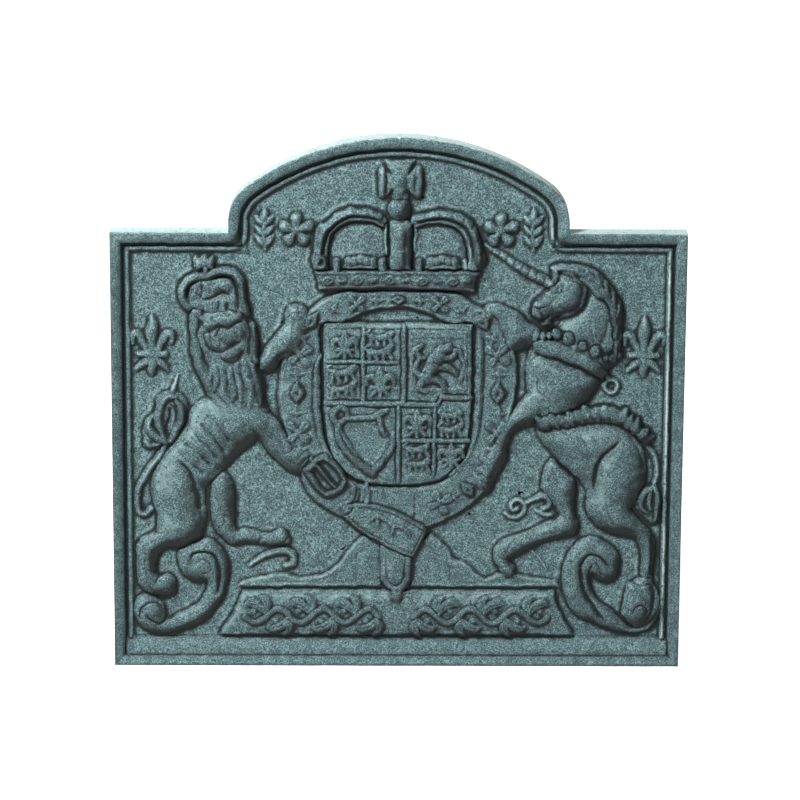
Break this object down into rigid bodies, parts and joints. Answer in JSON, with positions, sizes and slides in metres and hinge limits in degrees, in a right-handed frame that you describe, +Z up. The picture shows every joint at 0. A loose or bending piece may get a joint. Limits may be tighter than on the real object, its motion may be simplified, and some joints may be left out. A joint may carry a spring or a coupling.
{
  "type": "fireback",
  "caption": "Arched cast-iron fireback with a moulded border and low-relief lion and unicorn supporters either side of a crowned shield in a garter, over a plinth.",
  "frame": {"origin": "middle of the bottom edge of the flat back face, where it meets the hearth and the wall", "axes": "+X to the viewer's right, -Y towards the room, +Z up"},
  "size_m": [0.61, 0.025, 0.585],
  "materials": {
    "plate_iron": "as sand cast, grainy, blue-grey with darker hollows",
    "border_iron": "as sand cast, edges rubbed a little lighter",
    "relief_iron": "as sand cast, raised carving rubbed lighter than the field"
  },
  "bodies": {
    "root": {"plate": "plate_iron", "rim_bottom": "border_iron", "rim_left": "border_iron", "rim_right": "border_iron", "rim_shoulder_left": "border_iron", "rim_shoulder_right": "border_iron", "rim_arch": "border_iron", "base_band": "border_iron", "bead_left": "border_iron", "bead_right": "border_iron", "bead_shoulder_left": "border_iron", "bead_shoulder_right": "border_iron", "bead_arch": "border_iron", "crown_circlet": "relief_iron", "crown_arches": "relief_iron", "crown_front_arch": "relief_iron", "crown_caps": "relief_iron", "crown_fleurons": "relief_iron", "crown_orb": "relief_iron", "crown_cross": "relief_iron", "garter_strap": "relief_iron", "garter_ornament": "relief_iron", "garter_buckle": "relief_iron", "strap_end": "relief_iron", "pendant": "relief_iron", "shield": "relief_iron", "shield_quartering": "relief_iron", "charge_quarter_1": "relief_iron", "charge_quarter_2": "relief_iron", "charge_quarter_3": "relief_iron", "charge_quarter_4": "relief_iron", "lion_body": "relief_iron", "lion_mane": "relief_iron", "lion_head": "relief_iron", "lion_crown": "relief_iron", "lion_raised_leg": "relief_iron", "lion_fore_leg": "relief_iron", "lion_near_hind_leg": "relief_iron", "lion_far_hind_leg": "relief_iron", "lion_tail": "relief_iron", "unicorn_body": "relief_iron", "unicorn_head": "relief_iron", "unicorn_horn": "relief_iron", "unicorn_mane": "relief_iron", "unicorn_collar": "relief_iron", "unicorn_raised_leg": "relief_iron", "unicorn_fore_leg": "relief_iron", "unicorn_near_hind_leg": "relief_iron", "unicorn_far_hind_leg": "relief_iron", "unicorn_fringe": "relief_iron", "unicorn_tail": "relief_iron", "unicorn_chain": "relief_iron", "scroll_left": "relief_iron", "scroll_right": "relief_iron", "plinth": "relief_iron", "plinth_ornament": "relief_iron", "ground": "relief_iron", "side_sprigs": "relief_iron", "arch_sprigs": "relief_iron"}
  },
  "joints": []
}
